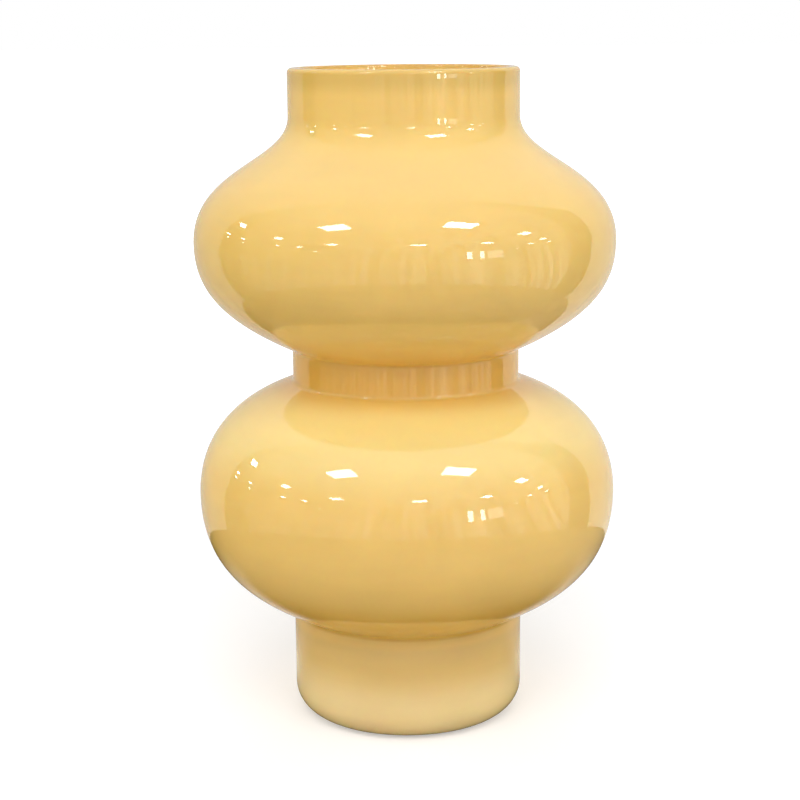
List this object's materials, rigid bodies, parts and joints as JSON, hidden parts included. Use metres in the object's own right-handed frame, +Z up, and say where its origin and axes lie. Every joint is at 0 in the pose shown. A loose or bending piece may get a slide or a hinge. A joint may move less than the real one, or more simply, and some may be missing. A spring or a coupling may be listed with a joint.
{
  "type": "glass vase",
  "caption": "Blown cased-glass vase with a straight foot, stacked squashed bulbs joined by a short waist, and a straight open neck that holds cut flowers in water.",
  "frame": {"origin": "centre of the ring that the vase stands on, at the level of the table", "axes": "+Z up along the axis that the vase is turned about; X and Y are alike"},
  "size_m": [0.192, 0.192, 0.3],
  "materials": {
    "opal_glass": "opaque honey-yellow opal glass, fire-polished to a high gloss",
    "clear_glass": "clear glass, smooth and glossy, warm from the opal behind it"
  },
  "bodies": {
    "root": {"opal_overlay": "opal_glass", "clear_lining": "clear_glass"}
  },
  "joints": []
}
